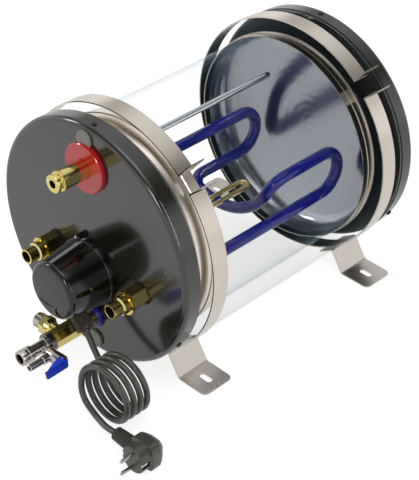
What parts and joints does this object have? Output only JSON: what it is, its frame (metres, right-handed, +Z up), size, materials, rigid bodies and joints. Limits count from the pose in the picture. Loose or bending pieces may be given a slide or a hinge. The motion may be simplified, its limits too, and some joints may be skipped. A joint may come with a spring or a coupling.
{
  "type": "water heater",
  "caption": "Horizontal camper water heater cut away to its tank and coolant exchanger, held in two straps on slotted feet, with valve, thermostat cover, coiled mains cord and plug.",
  "frame": {"origin": "midway between the four foot slots, on the mounting surface", "axes": "X across the heater, +Y along it from the fittings to the rear cover, +Z up from the mounting surface"},
  "size_m": [0.3846, 0.559, 0.3356],
  "materials": {
    "cover_black": "glossy black powder coat",
    "clear_jacket": "clear",
    "black_steel": "satin black",
    "foam": "matt foam",
    "plug_grey": "satin",
    "strap_steel": "bright stainless",
    "foot_steel": "brushed stainless",
    "clear_tank": "clear",
    "tank_steel": "satin stainless",
    "exchanger_blue": "gloss blue",
    "element_tint": "dull",
    "brass": "polished",
    "outlet_red": "gloss red",
    "inlet_blue": "gloss blue",
    "collar_steel": "turned",
    "chrome": "polished",
    "lever_blue": "gloss blue",
    "cap_black": "gloss black",
    "screw_steel": "bright",
    "terminal_cream": "matt",
    "cord_black": "satin dark grey"
  },
  "bodies": {
    "heater": {"front_cover": "cover_black", "rear_cover": "cover_black", "outer_jacket": "clear_jacket", "cover_screws_front": "black_steel", "cover_screws_rear": "black_steel", "front_insulation": "foam", "rear_insulation": "foam", "filler_plugs": "plug_grey", "strap_front_band": "strap_steel", "strap_rear_band": "strap_steel", "foot_front_left": "foot_steel", "foot_front_right": "foot_steel", "foot_rear_left": "foot_steel", "foot_rear_right": "foot_steel", "tank_wall": "clear_tank", "tank_front_dome": "tank_steel", "tank_rear_dome": "tank_steel", "heat_exchanger": "exchanger_blue", "outlet_tube": "tank_steel", "heating_element": "element_tint", "element_boss": "brass", "thermostat_pocket": "tank_steel", "outlet_disc": "outlet_red", "outlet_fitting": "brass", "coolant_nut_left": "brass", "coolant_nut_right": "brass", "coolant_tail_left": "brass", "coolant_tail_right": "brass", "inlet_ring": "inlet_blue", "inlet_nipple": "brass", "valve_body": "brass", "valve_collar": "collar_steel", "inlet_barb": "chrome", "drain_body": "chrome", "drain_nozzle": "chrome", "relief_bonnet": "brass", "cover_base": "cap_black", "thermostat_cover": "cap_black", "cover_base_screw": "screw_steel", "thermostat": "cap_black", "terminals": "terminal_cream", "cable_gland": "cord_black", "gland_screws": "screw_steel", "cord_lead": "cord_black", "cord_coil": "cord_black", "cord_tail": "cord_black", "plug_body": "cord_black", "plug_strain_relief": "cord_black", "plug_pins": "chrome", "plug_earth": "screw_steel"},
    "drain_handle": {"drain_lever": "lever_blue", "lever_screw": "chrome"},
    "test_cap": {"relief_cap": "chrome"}
  },
  "joints": [
    {"name": "drain_turn", "type": "hinge", "parent": "heater", "child": "drain_handle", "pos_m": [0.0445, -0.3065, 0.056], "axis": [1, 0, 0], "range_deg": [-90, 0]},
    {"name": "test_cap_turn", "type": "hinge", "parent": "heater", "child": "test_cap", "pos_m": [-0.0345, -0.2725, 0.056], "axis": [1, 0, 0], "range_deg": [0, 90]}
  ]
}
